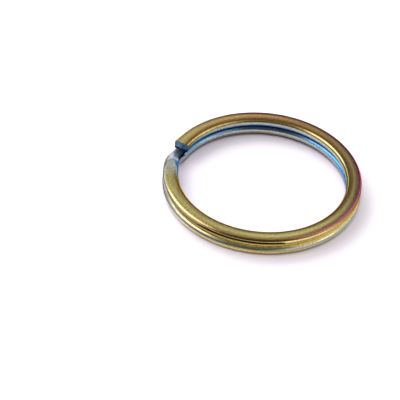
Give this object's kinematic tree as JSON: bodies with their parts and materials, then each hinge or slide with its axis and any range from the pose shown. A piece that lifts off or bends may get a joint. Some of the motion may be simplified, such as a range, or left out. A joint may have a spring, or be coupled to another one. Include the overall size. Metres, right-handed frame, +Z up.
{
  "type": "split key ring",
  "caption": "Double-coil split key ring of flattened spring wire, with a short step between its coils and an iridescent plated finish.",
  "frame": {"origin": "centre of the ring, on the underside that it rests on", "axes": "+Z up along the ring's axis; the step between the coils is centred on the -X side"},
  "size_m": [0.03, 0.03, 0.003],
  "materials": {
    "plated_spring_steel": "satin, iridescent plated film in gold, blue and purple"
  },
  "bodies": {
    "crossover_and_fixed_coils": {"crossover_bend": "plated_spring_steel", "upper_coil_07": "plated_spring_steel", "upper_coil_08": "plated_spring_steel", "upper_coil_09": "plated_spring_steel", "upper_coil_10": "plated_spring_steel", "lower_coil_07": "plated_spring_steel", "lower_coil_08": "plated_spring_steel", "lower_coil_09": "plated_spring_steel", "lower_coil_10": "plated_spring_steel"},
    "upper_stretch_06": {"upper_coil_06": "plated_spring_steel"},
    "upper_stretch_05": {"upper_coil_05": "plated_spring_steel"},
    "upper_stretch_04": {"upper_coil_04": "plated_spring_steel"},
    "upper_stretch_03": {"upper_coil_03": "plated_spring_steel"},
    "upper_stretch_02": {"upper_coil_02": "plated_spring_steel"},
    "upper_stretch_01": {"upper_coil_01": "plated_spring_steel"},
    "lower_stretch_06": {"lower_coil_06": "plated_spring_steel"},
    "lower_stretch_05": {"lower_coil_05": "plated_spring_steel"},
    "lower_stretch_04": {"lower_coil_04": "plated_spring_steel"},
    "lower_stretch_03": {"lower_coil_03": "plated_spring_steel"},
    "lower_stretch_02": {"lower_coil_02": "plated_spring_steel"},
    "lower_stretch_01": {"lower_coil_01": "plated_spring_steel"}
  },
  "joints": [
    {"name": "upper_coil_pry", "type": "hinge", "parent": "crossover_and_fixed_coils", "child": "upper_stretch_06", "pos_m": [0.0115, -0.00776, 0.00227], "axis": [0.3746, 0.9272, 0], "range_deg": [0, 1.85], "stiffness_Nm_per_rad": 6},
    {"name": "upper_coil_flex_05", "type": "hinge", "parent": "upper_stretch_06", "child": "upper_stretch_05", "pos_m": [0.01388, 0, 0.00227], "axis": [0.0872, 0.9962, 0], "range_deg": [0, 1.89]},
    {"name": "upper_coil_flex_04", "type": "hinge", "parent": "upper_stretch_05", "child": "upper_stretch_04", "pos_m": [0.0115, 0.00776, 0.00227], "axis": [-0.2079, 0.9781, 0], "range_deg": [0, 1.76]},
    {"name": "upper_coil_flex_03", "type": "hinge", "parent": "upper_stretch_04", "child": "upper_stretch_03", "pos_m": [0.0052, 0.01286, 0.00227], "axis": [-0.4848, 0.8746, 0], "range_deg": [0, 1.48]},
    {"name": "upper_coil_flex_02", "type": "hinge", "parent": "upper_stretch_03", "child": "upper_stretch_02", "pos_m": [-0.00288, 0.01357, 0.00227], "axis": [-0.7193, 0.6947, 0], "range_deg": [0, 1.06]},
    {"name": "upper_coil_flex_01", "type": "hinge", "parent": "upper_stretch_02", "child": "upper_stretch_01", "pos_m": [-0.00998, 0.00964, 0.00227], "axis": [-0.891, 0.454, 0], "range_deg": [0, 0.55551]},
    {"name": "lower_coil_pry", "type": "hinge", "parent": "crossover_and_fixed_coils", "child": "lower_stretch_06", "pos_m": [0.0115, 0.00776, 0.00073], "axis": [0.3746, -0.9272, 0], "range_deg": [0, 1.85], "stiffness_Nm_per_rad": 6},
    {"name": "lower_coil_flex_05", "type": "hinge", "parent": "lower_stretch_06", "child": "lower_stretch_05", "pos_m": [0.01388, 0, 0.00073], "axis": [0.0872, -0.9962, 0], "range_deg": [0, 1.89]},
    {"name": "lower_coil_flex_04", "type": "hinge", "parent": "lower_stretch_05", "child": "lower_stretch_04", "pos_m": [0.0115, -0.00776, 0.00073], "axis": [-0.2079, -0.9781, 0], "range_deg": [0, 1.76]},
    {"name": "lower_coil_flex_03", "type": "hinge", "parent": "lower_stretch_04", "child": "lower_stretch_03", "pos_m": [0.0052, -0.01286, 0.00073], "axis": [-0.4848, -0.8746, 0], "range_deg": [0, 1.48]},
    {"name": "lower_coil_flex_02", "type": "hinge", "parent": "lower_stretch_03", "child": "lower_stretch_02", "pos_m": [-0.00288, -0.01357, 0.00073], "axis": [-0.7193, -0.6947, 0], "range_deg": [0, 1.06]},
    {"name": "lower_coil_flex_01", "type": "hinge", "parent": "lower_stretch_02", "child": "lower_stretch_01", "pos_m": [-0.00998, -0.00964, 0.00073], "axis": [-0.891, -0.454, 0], "range_deg": [0, 0.55551]}
  ],
  "couplings": [
    {"joint": "upper_coil_flex_05", "follows": "upper_coil_pry", "ratio": 1.0185},
    {"joint": "upper_coil_flex_04", "follows": "upper_coil_pry", "ratio": 0.9479},
    {"joint": "upper_coil_flex_03", "follows": "upper_coil_pry", "ratio": 0.79451},
    {"joint": "upper_coil_flex_02", "follows": "upper_coil_pry", "ratio": 0.57169},
    {"joint": "upper_coil_flex_01", "follows": "upper_coil_pry", "ratio": 0.2989},
    {"joint": "lower_coil_flex_05", "follows": "lower_coil_pry", "ratio": 1.0185},
    {"joint": "lower_coil_flex_04", "follows": "lower_coil_pry", "ratio": 0.9479},
    {"joint": "lower_coil_flex_03", "follows": "lower_coil_pry", "ratio": 0.79451},
    {"joint": "lower_coil_flex_02", "follows": "lower_coil_pry", "ratio": 0.57169},
    {"joint": "lower_coil_flex_01", "follows": "lower_coil_pry", "ratio": 0.2989}
  ]
}
